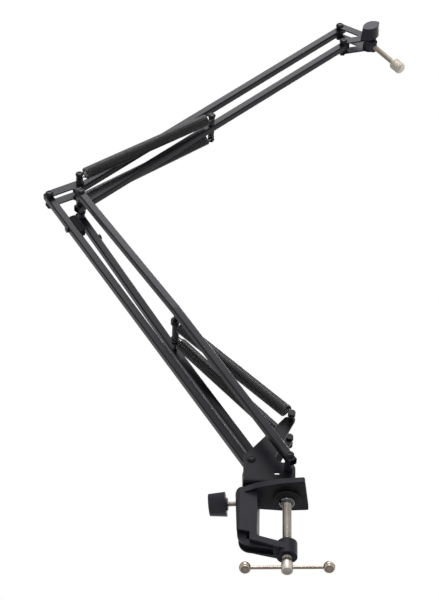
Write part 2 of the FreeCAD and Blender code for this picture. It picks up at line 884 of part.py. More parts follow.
def lower_collars():
    outer = collar_inside + cross_collar_width
    return Part.makeCompound(ring_pair(lower_cross, cross_collar_radius, collar_inside, outer))


def lower_cross_sleeve():
    return ring(lower_cross, cross_sleeve_radius, hole_radius, -collar_inside, collar_inside)


# Elbow

def elbow_plate(side):
    outline = strip_corners([elbow_link_pivot, post_pivot, elbow_pivot], elbow_half_width, elbow_inner_radius)
    low, high = sorted((side * plate_inside, side * plate_outside))
    plate = slab(outline, low, high)
    for centre in (elbow_link_pivot, post_pivot, elbow_pivot):
        plate = plate.cut(rod(centre, hole_radius, low - overrun, high + overrun))
    return plate


def elbow_spacers_inner():
    rings = []
    for centre in (elbow_link_pivot, post_pivot, elbow_pivot):
        rings += ring_pair(centre, spacer_radius, half_tube + side_gap, plate_inside)
    return Part.makeCompound(rings)


elbow_bar_inside = bar_spread_elbow - bar_reach
elbow_bar_outside = bar_spread_elbow + bar_reach


# Upper arm

def upper_bar_lower():
    holes = (0, upper_length * upper_cross_share, upper_length)
    return straight_bar(elbow_pivot, upper_angle, upper_length, holes)


# Head

def head_plate(side):
    """V-shaped plate whose legs meet in a round boss at the tilt axis."""
    low, high = sorted((side * plate_inside, side * plate_outside))
    outline = strip_corners([head_link_pivot, tilt_pivot, head_pivot], head_half_width, head_notch_radius)
    plate = slab(outline, low, high).fuse(rod(tilt_pivot, tilt_boss_radius, low, high)).removeSplitter()
    for centre in (head_link_pivot, tilt_pivot, head_pivot):
        plate = plate.cut(rod(centre, hole_radius, low - overrun, high + overrun))
    return plate


def head_washers():
    rings = []
    for centre in (head_link_pivot, head_pivot):
        rings += ring_pair(centre, spacer_radius, half_tube + side_gap, plate_inside)
    return Part.makeCompound(rings)


def tilt_block():
    """Block between the head plates that turns on the tilt stud and holds the stem."""
    half = plate_inside - side_gap
    end = tilt_pivot + stem_heading * (block_neck - block_neck_half_width)
    neck = slab(strip_corners([tilt_pivot, end], block_neck_half_width, 0), -half, half)
    block = rod(tilt_pivot, block_radius, -half, half).fuse(neck).removeSplitter()
    stem_foot = tilt_pivot + stem_heading * stem_start
    stem_hole = Part.makeCylinder(stem_radius + running_gap, block_neck, stem_foot, stem_heading)
    return block.cut([rod(tilt_pivot, hole_radius, -half - overrun, half + overrun), stem_hole])


def mic_stem():
    length = stud_middle - stud_length / 2 - stem_start
    return Part.makeCylinder(stem_radius, length, tilt_pivot + stem_heading * stem_start, stem_heading)


def mic_stud():
    start = tilt_pivot + stem_heading * (stud_middle - stud_length / 2)
    stud = Part.makeCylinder(stud_radius, stud_length, start, stem_heading)
    rims = [edge for edge in stud.Edges if edge.isClosed() and isinstance(edge.Curve, Part.Circle)]
    return stud.makeChamfer(stud_chamfer, rims)


tilt_knob_start = -plate_outside - side_gap - knob_hub_length


def tilt_stud():
    return rod(tilt_pivot, pin_radius, tilt_knob_start - knob_bore_depth, plate_outside + nut_height)


def tilt_knob():
    turn = Rotation(Vector(1, 0, 0), up, -across, "ZXY")
    place = Vector(tilt_pivot.x, tilt_knob_start, tilt_pivot.z)
    return placed(knob(pin_radius, tilt_knob_turn), Placement(place, turn))


def in_clamp(shape):
    return placed(shape, clamp_place)


def nuts(*places):
    return Part.makeCompound([nut(centre, seat) for centre, seat in places])


base_pin_seat = base_bar_outside + side_gap

nodes = {
    "clamp_frame": in_clamp(clamp_frame()),
    "jaw_pad": in_clamp(jaw_pad()),
    "pressure_foot": in_clamp(pressure_foot()),
    "foot_socket": in_clamp(foot_socket()),
    "clamp_screw": in_clamp(clamp_screw()),
    "handle_bar": in_clamp(handle_bar()),
    "handle_balls": in_clamp(handle_balls()),
    "lock_bolt": in_clamp(lock_bolt()),
    "lock_knob": in_clamp(lock_knob()),
    "base_bracket": base_bracket(),
    "base_post": base_post(),
    "base_pin_left": socket_bolt(base_link_pivot, cheek_outside),
    "base_pin_right": socket_bolt(base_pivot, base_pin_seat),
    "base_spacers_inner": Part.makeCompound(
        ring_pair(base_link_pivot, spacer_radius, half_tube + side_gap, cheek_inside)),
    "base_spacers_outer": Part.makeCompound(
        ring_pair(base_pivot, spacer_radius, cheek_outside, bar_spread_base - half_tube - side_gap)),
    "base_nuts": nuts((base_link_pivot, cheek_outside), (base_pivot, base_pin_seat)),
    "spring_anchor_bolts": spring_anchor_bolts(),
    "lower_bar_front": bent_bar(-1),
    "lower_bar_back": lower_bar_back(),
    "lower_cross_pin": rod(lower_cross, pin_radius, -bar_spread_base, bar_spread_base),
    "lower_cross_sleeve": lower_cross_sleeve(),
    "lower_collars": lower_collars(),
    "stop_screw_back": stop_screw_back(),
    "lower_bar_centre": lower_bar_centre(),
    "stop_block": stop_block(),
    "stop_screw": stop_screw(),
    "elbow_plate_front": elbow_plate(-1),
    "elbow_plate_back": elbow_plate(1),
    "elbow_pin_left": socket_bolt(elbow_link_pivot, plate_outside),
    "elbow_pin_right": socket_bolt(elbow_pivot, elbow_bar_outside),
    "spring_post": socket_bolt(post_pivot, upper_groove_outside),
    "elbow_spacers_inner": elbow_spacers_inner(),
    "elbow_spacers_outer": Part.makeCompound(
        ring_pair(elbow_pivot, spacer_radius, plate_outside, elbow_bar_inside)),
    "post_sleeves": Part.makeCompound(
        ring_pair(post_pivot, spacer_radius, plate_outside, upper_groove_inside)),
    "elbow_nuts": nuts((elbow_link_pivot, plate_outside), (elbow_pivot, elbow_bar_outside),
                       (post_pivot, upper_groove_outside)),
    "upper_bar_lower": upper_bar_lower(),
    "upper_bar_upper": straight_bar(post_pivot, upper_angle, upper_length, (0, upper_length)),
    "upper_cross_pin": socket_bolt(upper_cross, cross_groove_outside),
    "upper_cross_nut": nuts((upper_cross, cross_groove_outside)),
    "upper_cross_sleeves": Part.makeCompound(
        ring_pair(upper_cross, cross_sleeve_radius, half_tube, cross_groove_inside)),
    "head_plate_front": head_plate(-1),
    "head_plate_back": head_plate(1),
    "head_pin_upper": socket_bolt(head_link_pivot, plate_outside),
    "head_pin_lower": socket_bolt(head_pivot, plate_outside),
    "head_washers": head_washers(),
    "head_nuts": nuts((head_link_pivot, plate_outside), (head_pivot, plate_outside)),
    "tilt_nut": nuts((tilt_pivot, plate_outside)),
    "tilt_block": tilt_block(),
    "mic_stem": mic_stem(),
    "mic_stud": mic_stud(),
    "tilt_stud": tilt_stud(),
    "tilt_knob": tilt_knob(),
}

for side, end in ((-1, "front"), (1, "back")):
    way = across * side
    name = "lower_spring_" + end
    nodes[name] = tension_spring(name, spring_ear + way * lower_spring_spread,
                                 lower_cross + way * lower_cross_spread, cross_sleeve_radius)
    name = "upper_spring_" + end
    nodes[name] = tension_spring(name, post_pivot + way * upper_spring_spread,
                                 upper_cross + way * upper_cross_spread, pin_radius)

os.makedirs("parts", exist_ok=True)
for name, shape in nodes.items():
    shape.exportStep(os.path.join("parts", name + ".step"))
    print(name, len(shape.Solids), shape.isValid(), round(shape.Volume, 1))
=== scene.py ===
import json
import math

import bmesh
import bpy
from mathutils import Matrix, Vector

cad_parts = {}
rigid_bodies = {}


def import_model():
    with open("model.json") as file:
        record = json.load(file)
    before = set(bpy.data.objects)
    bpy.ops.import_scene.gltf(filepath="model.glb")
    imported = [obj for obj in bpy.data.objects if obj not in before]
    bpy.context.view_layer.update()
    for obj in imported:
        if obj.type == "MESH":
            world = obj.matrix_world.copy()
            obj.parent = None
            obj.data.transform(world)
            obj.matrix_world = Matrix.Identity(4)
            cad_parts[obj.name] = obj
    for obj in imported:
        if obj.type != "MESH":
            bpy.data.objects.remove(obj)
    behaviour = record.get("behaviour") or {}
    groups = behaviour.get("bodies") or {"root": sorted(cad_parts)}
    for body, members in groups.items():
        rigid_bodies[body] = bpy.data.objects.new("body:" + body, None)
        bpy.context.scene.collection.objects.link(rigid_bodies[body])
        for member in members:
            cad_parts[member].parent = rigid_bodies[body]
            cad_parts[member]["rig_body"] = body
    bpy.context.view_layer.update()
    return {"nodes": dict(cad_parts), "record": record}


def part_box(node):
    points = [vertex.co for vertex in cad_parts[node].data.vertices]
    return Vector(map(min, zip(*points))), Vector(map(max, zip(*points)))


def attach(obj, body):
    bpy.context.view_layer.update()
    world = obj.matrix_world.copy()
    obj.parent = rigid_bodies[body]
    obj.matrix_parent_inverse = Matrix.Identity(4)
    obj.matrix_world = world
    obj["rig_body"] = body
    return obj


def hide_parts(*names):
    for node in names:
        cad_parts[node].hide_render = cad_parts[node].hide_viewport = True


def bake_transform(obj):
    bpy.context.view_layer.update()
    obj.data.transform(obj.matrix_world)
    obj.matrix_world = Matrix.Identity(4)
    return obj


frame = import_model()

NODES = frame["nodes"]
SLOT_OF_NODE = {part["node"]: part["material_slot"] for part in frame["record"]["subparts"]}
ACROSS = Vector((0, 1, 0))
UPRIGHT = Vector((0, 0, 1))
WHITE = (1.0, 1.0, 1.0, 1.0)

# Camera of the photograph, in metres and degrees
EYE = Vector((-0.09878, -1.66271, -1.30346))
CAMERA_ELEVATION = 44.05
CAMERA_AZIMUTH = 0.57
CAMERA_ROLL = 1.853
LENS_MM = 114.01
SENSOR_MM = 36.0
CAMERA_REACH = 50

# Stage and light
FLOOR_HEIGHT = -1.55
FLOOR_SIZE = 12.0
FLOOR_GREY = (0.72, 0.72, 0.72, 1.0)
FLOOR_ROUGHNESS = 0.7
BACKGROUND_STRENGTH = 1.0
ROOM_LIGHT = (0.92, 0.95, 1.0, 1.0)
ROOM_STRENGTH = 0.25
LAMP_AIM = Vector((-0.1, 0, 0.4))
LAMP_COLOUR = (0.97, 0.96, 1.0)
LAMPS = {
    "key": {"place": Vector((-0.15, -1.45, 2.6)), "size": (1.6, 1.4), "watts": 52},
    "strip": {"place": Vector((-0.1, -2.2, 0.25)), "size": (1.2, 0.12), "watts": 8},
    "back": {"place": Vector((0.9, 1.6, 2.6)), "size": (1.4, 1.4), "watts": 40},
}

# Wire and hooks of the springs
SPRING_WIRE = 0.0018
SPRING_PITCH = 0.00205
SPRING_RADIUS = 0.0070
HOOK_ROOM = 0.0090
SLEEVE_HOOK_ROOM = 0.0100
HOOK_GAP = 0.0002
HOOK_LEAD = 0.6
HOOK_EASE = 0.45
HOOK_START = 90
HOOK_SWEEP = 265
PIN_RADIUS = 0.0025
SLEEVE_RADIUS = 0.0042
WIRE_SIDES = 8
COIL_STEPS = 20
HOOK_STEPS = 20
EASE_STEPS = 8

# Springs: the pins they hook on, the bodies they join, and the shares of their span at which they are cut and
# at which the bend of each length starts and ends
SPRINGS = {
    "lower": {
        "start": {"node": "spring_anchor_bolts", "across": 0.0243, "radius": PIN_RADIUS, "room": HOOK_ROOM},
        "end": {
            "node": "lower_cross_pin", "across": 0.0140, "radius": SLEEVE_RADIUS, "room": SLEEVE_HOOK_ROOM,
        },
        "bodies": ("base", "lower_bars"),
        "cuts": (0.057, 0.298),
        "bends": ((-0.025, 0.249), (-0.189, 0.637), (-0.747, 1.026)),
    },
    "upper": {
        "start": {"node": "spring_post", "across": 0.0210, "radius": PIN_RADIUS, "room": HOOK_ROOM},
        "end": {"node": "upper_cross_pin", "across": 0.0167, "radius": PIN_RADIUS, "room": HOOK_ROOM},
        "bodies": ("elbow", "upper_main"),
        "cuts": (0.058, 0.146),
        "bends": ((-0.024, 0.152), (-0.131, 0.275), (-1.365, 0.854)),
    },
}

# Tubes of the arm
BASE_PIVOT = Vector((0, 0, 0.032))
LOWER_LINK = Vector((-0.0412, 0, 0.0122))
LOWER_LENGTH = 0.50205
LOWER_ANGLE = 121.47
UPPER_LINK = Vector((-0.0043, 0, 0.0347))
UPPER_LENGTH = 0.4881
UPPER_ANGLE = 45.59
TUBE_HALF = 0.005
TUBE_WALL = 0.001
TUBE_CORNER = 0.0018
TUBE_OVERHANG = 0.008
TUBE_LIP = 0.0003
BORE_DEPTH = 0.03
CORNER_STEPS = 6
SPREAD_BASE = 0.0365
SPREAD_ELBOW = 0.0216
BEND_SHARE = 0.51
BEND_RADIUS = 0.06
BEND_STEPS = 6

# Heads of the pins
BUTTON_PINS = (
    "base_pin_left", "base_pin_right", "elbow_pin_left", "elbow_pin_right", "spring_post", "upper_cross_pin",
    "head_pin_upper", "head_pin_lower",
)
PIN_HEAD_HEIGHT = 0.004
BUTTON_RADIUS = 0.0052
BUTTON_EDGE = 0.0009
BUTTON_DOME = 0.0026
BUTTON_SHARES = (0.56, 0.7, 0.82, 0.92, 0.98, 1.0)
SOCKET_HALF = 0.0020
SOCKET_DEPTH = 0.0016
SOCKET_SIDES = 6
HEAD_SIDES = 36

# Threads
CLAMP_THREAD_PITCH = 0.0015
CLAMP_THREAD_DEPTH = 0.0007
CLAMP_SCREW_RADIUS = 0.0050
CLAMP_SCREW_HEAD = 0.0176
STUD_THREAD_PITCH = 0.00094
STUD_THREAD_DEPTH = 0.0005
STUD_RADIUS = 0.0079375
STUD_LENGTH = 0.0160
STUD_CHAMFER = 0.0012
LOCK_THREAD_PITCH = 0.0010
LOCK_THREAD_DEPTH = 0.0005
LOCK_BOLT_RADIUS = 0.00275
LOCK_BOLT_LENGTH = 0.0304
CLAMP_TURN = -8.5
THREAD_SIDES = 40
THREAD_ROWS = 8
CREST_STEEPNESS = 1.6
CREST_FLAT = 0.3

# Edges
EDGE_ROUND = 0.0004
PIN_EDGE_ROUND = 0.0002
EDGE_ROUND_OF_NODE = {"clamp_frame": 0.0008, "lock_knob": 0.0016, "tilt_knob": 0.0016}
EDGE_ANGLE = 32
EDGE_SEGMENTS = 3
SAME_PLACE = 0.000002
FLAT_ANGLE = 0.5

# Surfaces
DRIFT_SCALE = 45.0
DRIFT_DETAIL = 4.0
DRIFT_LOW = 0.35
DRIFT_HIGH = 0.68
GRAIN_DETAIL = 2.0
GRAIN_STRENGTH = 0.35
NOISE_ROUGHNESS = 0.55
BLACK_IOR = 1.3
NICKEL = {"metallic": 1.0, "ior": 1.5, "rim": (0.42, 0.38, 0.33, 1)}
FINISHES = {
    "painted_tube": {
        "dark": (0.010, 0.0097, 0.0135, 1), "light": (0.016, 0.0155, 0.021, 1), "rough": (0.30, 0.40),
        "grain_scale": 2200.0, "grain_depth": 0.00003, "ior": 1.25,
    },
    "painted_cast": {
        "dark": (0.010, 0.0095, 0.014, 1), "light": (0.018, 0.0172, 0.024, 1), "rough": (0.40, 0.52),
        "grain_scale": 1500.0, "grain_depth": 0.00006, "ior": 1.28,
    },
    "spring_steel": {
        "dark": (0.011, 0.011, 0.0125, 1), "light": (0.018, 0.018, 0.0205, 1), "rough": (0.24, 0.34),
        "grain_scale": 2600.0, "grain_depth": 0.00002, "ior": 1.55,
    },
    "black_fastener": {
        "dark": (0.010, 0.010, 0.011, 1), "light": (0.020, 0.020, 0.022, 1), "rough": (0.26, 0.38),
        "grain_scale": 2400.0, "grain_depth": 0.00002,
    },
    "nickel_steel": {
        "dark": (0.47, 0.43, 0.38, 1), "light": (0.60, 0.56, 0.50, 1), "rough": (0.34, 0.44),
        "grain_scale": 3000.0, "grain_depth": 0.00001, **NICKEL,
    },
    "polished_nickel": {
        "dark": (0.33, 0.28, 0.23, 1), "light": (0.41, 0.36, 0.30, 1), "rough": (0.05, 0.10),
        "grain_scale": 400.0, "grain_depth": 0.000002, **NICKEL,
    },
    "dull_nickel": {
        "dark": (0.30, 0.27, 0.22, 1), "light": (0.40, 0.36, 0.30, 1), "rough": (0.62, 0.74),
        "grain_scale": 3000.0, "grain_depth": 0.00001, **NICKEL,
    },
    "pale_nickel": {
        "dark": (0.62, 0.57, 0.49, 1), "light": (0.74, 0.69, 0.61, 1), "rough": (0.38, 0.50),
        "grain_scale": 3000.0, "grain_depth": 0.00001, **NICKEL,
    },
    "matte_black": {
        "dark": (0.006, 0.006, 0.007, 1), "light": (0.010, 0.010, 0.011, 1), "rough": (0.55, 0.70),
        "grain_scale": 1600.0, "grain_depth": 0.00004, "ior": 1.2,
    },
    "black_plastic": {
        "dark": (0.034, 0.031, 0.042, 1), "light": (0.045, 0.042, 0.054, 1), "rough": (0.40, 0.52),
        "grain_scale": 1800.0, "grain_depth": 0.00004,
    },
    "gloss_black_plastic": {
        "dark": (0.006, 0.006, 0.007, 1), "light": (0.010, 0.010, 0.012, 1), "rough": (0.08, 0.16),
        "grain_scale": 900.0, "grain_depth": 0.00001, "ior": 2.2,
    },
    "foot_plastic": {
        "dark": (0.012, 0.012, 0.013, 1), "light": (0.020, 0.020, 0.022, 1), "rough": (0.45, 0.60),
        "grain_scale": 1600.0, "grain_depth": 0.00004,
    },
}

# Nodes whose finish differs from that of their slot
FINISH_OF_NODE = {
    "handle_bar": "polished_nickel",
    "handle_balls": "polished_nickel",
    "mic_stem": "dull_nickel",
    "mic_stud": "pale_nickel",
    "stop_block": "matte_black",
}


# Materials

def new_material(name):
    material = bpy.data.materials.new(name)
    material.use_nodes = True
    tree = material.node_tree
    return material, tree, tree.nodes["Principled BSDF"]


def noise(tree, scale, detail):
    """Noise in the object's own space, so that it stays put in every view."""
    place = tree.nodes.new("ShaderNodeTexCoord")
    texture = tree.nodes.new("ShaderNodeTexNoise")
    texture.inputs["Scale"].default_value = scale
    texture.inputs["Detail"].default_value = detail
    texture.inputs["Roughness"].default_value = NOISE_ROUGHNESS
    tree.links.new(place.outputs["Object"], texture.inputs["Vector"])
    return texture.outputs["Fac"]


def ramp(tree, value, stops):
    """Colours along a value, from two (place, colour) stops."""
    node = tree.nodes.new("ShaderNodeValToRGB")
    for point, (place, colour) in zip(node.color_ramp.elements, stops):
        point.position = place
        point.color = colour
    tree.links.new(value, node.inputs["Fac"])
    return node.outputs["Color"]


def spread(tree, value, low, high):
    """A value between 0 and 1, mapped to a narrow range."""
    node = tree.nodes.new("ShaderNodeMapRange")
    node.inputs["To Min"].default_value = low
    node.inputs["To Max"].default_value = high
    tree.links.new(value, node.inputs["Value"])
    return node.outputs["Result"]


def bump(tree, shader, height, distance):
    node = tree.nodes.new("ShaderNodeBump")
    node.inputs["Distance"].default_value = distance
    node.inputs["Strength"].default_value = GRAIN_STRENGTH
    tree.links.new(height, node.inputs["Height"])
    tree.links.new(node.outputs["Normal"], shader.inputs["Normal"])


def coated(name, dark, light, rough, grain_scale, grain_depth, metallic=0.0, ior=BLACK_IOR, rim=WHITE):
    """Surface whose tone and gloss drift a little over a fine grain; rim tints what its rims mirror."""
    material, tree, shader = new_material(name)
    drift = noise(tree, DRIFT_SCALE, DRIFT_DETAIL)
    grain = noise(tree, grain_scale, GRAIN_DETAIL)
    tone = ramp(tree, drift, [(DRIFT_LOW, dark), (DRIFT_HIGH, light)])
    tree.links.new(tone, shader.inputs["Base Color"])
    tree.links.new(spread(tree, drift, *rough), shader.inputs["Roughness"])
    bump(tree, shader, grain, grain_depth)
    shader.inputs["Metallic"].default_value = metallic
    shader.inputs["IOR"].default_value = ior
    shader.inputs["Specular Tint"].default_value = rim
    return material


MATERIALS = {name: coated(name, **finish) for name, finish in FINISHES.items()}


# Pieces

def centre(node):
    low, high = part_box(node)
    return (low + high) / 2


def body_of(node):
    return NODES[node]["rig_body"]


def finish_of(node):
    return MATERIALS[FINISH_OF_NODE.get(node, SLOT_OF_NODE[node])]


def add_object(name, data):
    piece = bpy.data.objects.new(name, data)
    bpy.context.scene.collection.objects.link(piece)
    return piece


def finish_piece(piece, node, body=None):
    """Gives a piece a node's material, smooth shading and, when one is given, a body."""
    piece.data.materials.clear()
    piece.data.materials.append(finish_of(node))
    for face in piece.data.polygons:
        face.use_smooth = True
    if body:
        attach(piece, body)


def stand_in(name, mesh, node):
    """Piece of a mesh, on the body and with the material of the CAD node that it takes the place of."""
    piece = add_object(name, mesh)
    finish_piece(piece, node, body_of(node))
    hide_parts(node)
    return piece


def grid_mesh(name, rings):
    """Mesh of rows of points, each row a closed ring, with flat ends."""
    sides = len(rings[0])
    points = [point for row in rings for point in row]
    faces = []
    for row in range(len(rings) - 1):
        for side in range(sides):
            after = (side + 1) % sides
            low = row * sides
            faces.append((low + side, low + after, low + sides + after, low + sides + side))
    faces.append(tuple(reversed(range(sides))))
    faces.append(tuple(range((len(rings) - 1) * sides, len(rings) * sides)))
    mesh = bpy.data.meshes.new(name)
    mesh.from_pydata(points, [], faces)
    shape = bmesh.new()
    shape.from_mesh(mesh)
    bmesh.ops.recalc_face_normals(shape, faces=shape.faces)
    shape.to_mesh(mesh)
    shape.free()
    return mesh


def around(turn, side, other):
    """Direction so far round from one side towards the other."""
    return side * math.cos(turn) + other * math.sin(turn)


def full_circle(steps):
    return [2 * math.pi * step / steps for step in range(steps)]


def tube_rings(points, radius, sides):
    """Rings of a tube along a line of points, carried along without twist."""
    rings = []
    turns = full_circle(sides)
    side = (points[1] - points[0]).normalized().orthogonal().normalized()
    for index, point in enumerate(points):
        before = points[max(index - 1, 0)]
        after = points[min(index + 1, len(points) - 1)]
        way = (after - before).normalized()
        side = (side - way * side.dot(way)).normalized()
        other = way.cross(side)
        rings.append([point + around(turn, side, other) * radius for turn in turns])
    return rings


def bezier(start, start_pull, end_pull, end, steps):
    """Points between the ends of a curve that leaves and meets them towards two pulls."""
    line = []
    for step in range(1, steps):
        t = step / steps
        rest = 1 - t
        near_start = start * rest ** 3 + start_pull * 3 * rest ** 2 * t
        line.append(near_start + end_pull * 3 * rest * t ** 2 + end * t ** 3)
    return line


# Springs

def hook_line(pin, pin_radius, way, normal, coil_end, coil_way):
    """Wire from a coil's end round a pin: eased out of the coil, then looped round the pin."""
    loop = pin_radius + SPRING_WIRE / 2 + HOOK_GAP
    start = pin + normal * loop - way * loop * HOOK_LEAD
    ease = (start - coil_end).length * HOOK_EASE
    line = bezier(coil_end, coil_end + coil_way * ease, start - way * ease, start, EASE_STEPS)
    line.append(start)
    for step in range(HOOK_STEPS + 1):
        turn = math.radians(HOOK_START - HOOK_SWEEP * step / HOOK_STEPS)
        line.append(pin + around(turn, way, normal) * loop)
    return line


def spring_line(start_pin, start, end_pin, end):
    """Centre line of a close-wound tension spring with a hook round a pin at each end."""
    axis = (end_pin - start_pin).normalized()
    normal = ACROSS.cross(axis).normalized()
    beside = normal.cross(axis)
    coil_start = start_pin + axis * start["room"]
    length = (end_pin - start_pin).length - start["room"] - end["room"]
    steps = round(length / SPRING_PITCH) * COIL_STEPS
    coil = []
    for step in range(steps + 1):
        turn = 2 * math.pi * step / COIL_STEPS
        place = coil_start + axis * (length * step / steps)
        coil.append(place + around(turn, normal, beside) * SPRING_RADIUS)
    head_way = (coil[0] - coil[1]).normalized()
    tail_way = (coil[-1] - coil[-2]).normalized()
    head = hook_line(start_pin, start["radius"], -axis, normal, coil[0], head_way)
    tail = hook_line(end_pin, end["radius"], axis, normal, coil[-1], tail_way)
    return list(reversed(head)) + coil + tail


def on_pin(node, across):
    """Point on a pin's axis, so far out from the arm's middle plane."""
    return Vector((centre(node).x, across, centre(node).z))


def make_spring(node, side, start, end, bodies, cuts, bends):
    """Close-wound spring in place of a CAD spring, cut into three lengths."""
    start_pin = on_pin(start["node"], side * start["across"])
    end_pin = on_pin(end["node"], side * end["across"])
    line = spring_line(start_pin, start, end_pin, end)
    rings = tube_rings(line, SPRING_WIRE / 2, WIRE_SIDES)
    span = end_pin - start_pin
    shares = [(point - start_pin).dot(span) / span.length_squared for point in line]
    breaks = [max(index for index, share in enumerate(shares) if share < cut) for cut in cuts]
    firsts = [0] + breaks
    lasts = breaks + [len(line) - 1]
    for number, (first, last, bend) in enumerate(zip(firsts, lasts, bends), 1):
        name = "coil_%s_%d" % (node, number)
        piece = add_object(name, grid_mesh(name, rings[first:last + 1]))
        finish_piece(piece, node)
        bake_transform(piece)
        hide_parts(node)


# Square tubes

def heading(angle):
    turn = math.radians(angle)
    return Vector((math.cos(turn), 0, math.sin(turn)))


def square_ring(middle, side, up, half, corner):
    """Closed ring of points round a square section with rounded corners."""
    ring = []
    for quarter, (left, low) in enumerate(((1, 1), (-1, 1), (-1, -1), (1, -1))):
        for step in range(CORNER_STEPS + 1):
            turn = math.pi / 2 * (quarter + step / CORNER_STEPS)
            across = left * (half - corner) + corner * math.cos(turn)
            along = low * (half - corner) + corner * math.sin(turn)
            ring.append(middle + side * across + up * along)
    return ring


def moved(station, distance):
    """Station further along a bar's line."""
    along, across, slope = station
    return along + distance * math.cos(slope), across - distance * math.sin(slope), slope


def rim_rows(end, way):
    """Rows of (station, half width) from inside a tube's bore, over the rim of its end, to its outside."""
    inner = TUBE_HALF - TUBE_WALL
    lip = moved(end, way * TUBE_LIP)
    return [
        (moved(end, way * BORE_DEPTH), inner),
        (lip, inner),
        (end, inner + TUBE_LIP),
        (end, TUBE_HALF - TUBE_LIP),
        (lip, TUBE_HALF),
    ]


def bar_piece(node, pivot, angle, line):
    """Open square tube along a line of (place along, distance across, slope) stations."""
    ahead = heading(angle)
    up = ahead.cross(ACROSS)
    shaft = [(station, TUBE_HALF) for station in line[1:-1]]
    rings = []
    for (along, across, slope), half in rim_rows(line[0], 1) + shaft + rim_rows(line[-1], -1)[::-1]:
        middle = pivot + ahead * along + ACROSS * across
        side = ACROSS * math.cos(slope) + ahead * math.sin(slope)
        rings.append(square_ring(middle, side, up, half, TUBE_CORNER - TUBE_HALF + half))
    piece = stand_in("tube_" + node, grid_mesh("tube_" + node, rings), node)
    even_shading(piece)


def straight_line(length):
    return [(-TUBE_OVERHANG, 0, 0), (length + TUBE_OVERHANG, 0, 0)]


def bent_line(side):
    """Line of a lower outer bar: straight from the base, then bent in towards the elbow."""
    bend = LOWER_LENGTH * BEND_SHARE
    slope = math.atan2(SPREAD_BASE - SPREAD_ELBOW, LOWER_LENGTH - bend)
    tangent = BEND_RADIUS * math.tan(slope / 2)
    line = [(-TUBE_OVERHANG, SPREAD_BASE, 0)]
    for step in range(BEND_STEPS + 1):
        turn = slope * step / BEND_STEPS
        along = bend - tangent + BEND_RADIUS * math.sin(turn)
        line.append((along, SPREAD_BASE - BEND_RADIUS * (1 - math.cos(turn)), turn))
    line.append(moved((LOWER_LENGTH, SPREAD_ELBOW, slope), TUBE_OVERHANG))
    return [(along, side * across, side * slope) for along, across, slope in line]


# Heads, threads and rounded edges

def dome_height(share):
    """Height of a domed head at a share of its radius."""
    return BUTTON_EDGE + BUTTON_DOME * (1 - share ** 2)


def button_head(middle, way):
    """Domed head with a hexagon socket, standing on a point and looking along a way across the arm."""
    side = Vector((1, 0, 0))
    other = way.cross(side)
    turns = full_circle(HEAD_SIDES)
    flat = 2 * math.pi / SOCKET_SIDES
    socket = [SOCKET_HALF / math.cos(turn % flat - flat / 2) for turn in turns]
    levels = [(socket, BUTTON_EDGE + BUTTON_DOME - SOCKET_DEPTH), (socket, dome_height(BUTTON_SHARES[0]))]
    for share in BUTTON_SHARES:
        levels.append(([BUTTON_RADIUS * share] * HEAD_SIDES, dome_height(share)))
    levels.append(([BUTTON_RADIUS] * HEAD_SIDES, 0))
    rings = []
    for radii, height in levels:
        foot = middle + way * height
        rings.append([foot + around(turn, side, other) * radius for turn, radius in zip(turns, radii)])
    return grid_mesh("button_head", rings)


def button_pin(node):
    """Pin with a domed socket head in place of its plain one, on the front side."""
    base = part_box(node)[0].y + PIN_HEAD_HEIGHT
    mesh, shape = shape_of(node)
    head = [face for face in shape.faces if all(point.co.y < base + SAME_PLACE for point in face.verts)]
    bmesh.ops.delete(shape, geom=head, context="FACES")
    shape.from_mesh(button_head(on_pin(node, base), -ACROSS))
    shape.to_mesh(mesh)
    shape.free()
    piece = stand_in("button_" + node, mesh, node)
    round_edges(piece, PIN_EDGE_ROUND)


def thread_rings(start, axis, length, crest, depth, pitch, chamfer):
    """Rings of a screw thread along an axis, chamfered at both ends."""
    side = axis.orthogonal().normalized()
    other = axis.cross(side)
    rows = round(length / pitch * THREAD_ROWS)
    rings = []
    for row in range(rows + 1):
        along = length * row / rows
        limit = crest - chamfer + min(along, length - along)
        ring = []
        for step, turn in enumerate(full_circle(THREAD_SIDES)):
            phase = (along / pitch - step / THREAD_SIDES) % 1
            tooth = (1 - abs(2 * phase - 1)) * CREST_STEEPNESS - CREST_FLAT
            radius = min(crest - depth * (1 - min(max(tooth, 0), 1)), limit)
            ring.append(start + axis * along + around(turn, side, other) * radius)
        rings.append(ring)
    return rings


def shape_of(node):
    """Editable copy of a CAD node's faces, with its flat areas joined."""
    source = NODES[node].data
    points = [point.co for point in source.vertices]
    faces = [tuple(face.vertices) for face in source.polygons]
    mesh = bpy.data.meshes.new("dressed_" + node)
    mesh.from_pydata(points, [], faces)
    shape = bmesh.new()
    shape.from_mesh(mesh)
    flat = math.radians(FLAT_ANGLE)
    bmesh.ops.remove_doubles(shape, verts=shape.verts, dist=SAME_PLACE)
    bmesh.ops.dissolve_limit(shape, angle_limit=flat, verts=shape.verts, edges=shape.edges)
    return mesh, shape


def even_shading(piece):
    smooth = piece.modifiers.new("even_shading", "WEIGHTED_NORMAL")
    smooth.keep_sharp = False


def round_edges(piece, width):
    rounding = piece.modifiers.new("rounded_edges", "BEVEL")
    rounding.width = width
    rounding.segments = EDGE_SEGMENTS
    rounding.limit_method = "ANGLE"
    rounding.angle_limit = math.radians(EDGE_ANGLE)
    rounding.use_clamp_overlap = True
    even_shading(piece)


def dressed(node):
    """Copy of a CAD node with its edges lightly rounded, shown in the node's place."""
    mesh, shape = shape_of(node)
    shape.to_mesh(mesh)
    shape.free()
    piece = stand_in("dressed_" + node, mesh, node)
    round_edges(piece, EDGE_ROUND_OF_NODE.get(node, EDGE_ROUND))


